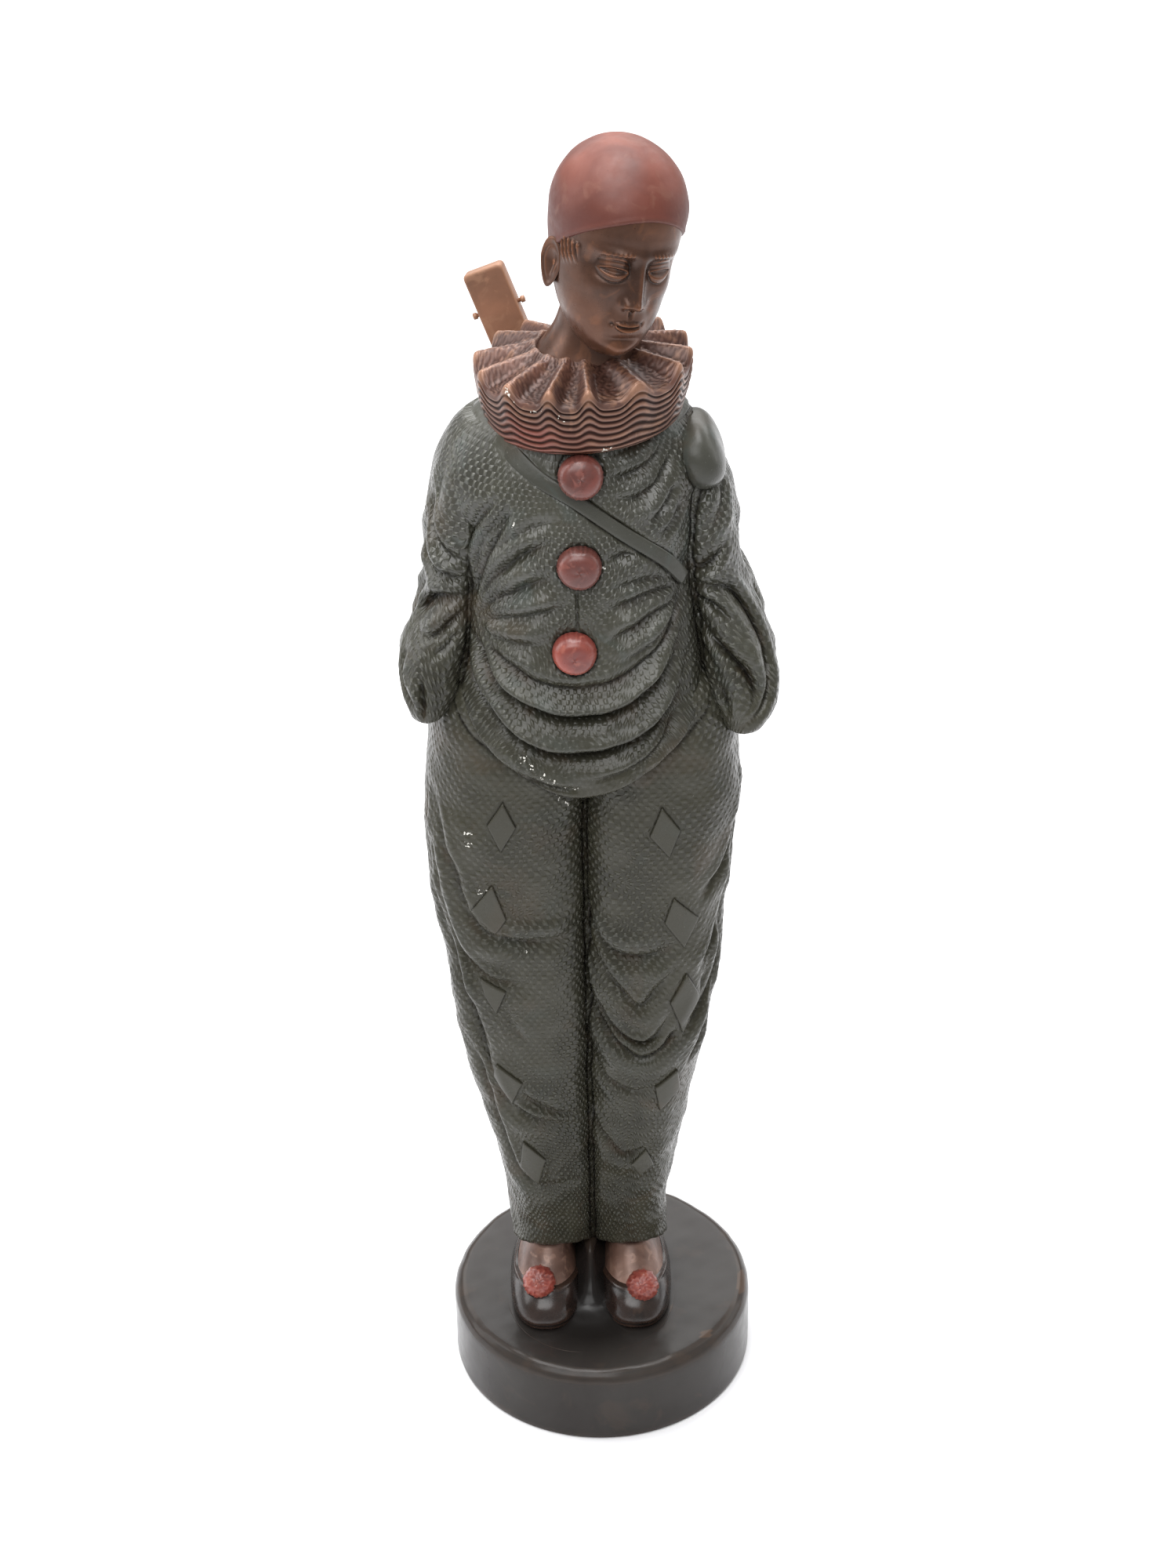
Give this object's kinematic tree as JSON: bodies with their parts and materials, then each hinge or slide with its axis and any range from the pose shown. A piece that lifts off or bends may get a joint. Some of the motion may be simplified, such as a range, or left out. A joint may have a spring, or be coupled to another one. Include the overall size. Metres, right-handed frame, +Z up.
{
  "type": "cold-painted metal figure",
  "caption": "Standing painted metal clown with a ruff, skull cap and quilted costume, hands in pockets, a mandolin on the back, on a round base",
  "frame": {"origin": "centre of the base's flat underside", "axes": "+Z up, the figure faces -Y, its left hand is at +X"},
  "size_m": [0.2459, 0.222, 0.9518],
  "materials": {
    "base_paint": "dark satin paint, rubbed warm at the edges",
    "costume_paint": "dark grey-green cold paint over a knobbly cast cloth, bronze in the creases",
    "mandolin_patina": "light copper-brown patina",
    "skin_patina": "dark brown patina, warmer in the hollows",
    "cap_paint": "glossy red-brown paint",
    "ruff_paint": "mauve-brown paint, rubbed pale on the crests",
    "red_paint": "worn red paint",
    "shoe_paint": "glossy brown-black paint"
  },
  "bodies": {
    "root": {"base": "base_paint", "figure": "costume_paint", "mandolin": "mandolin_patina"}
  },
  "joints": []
}
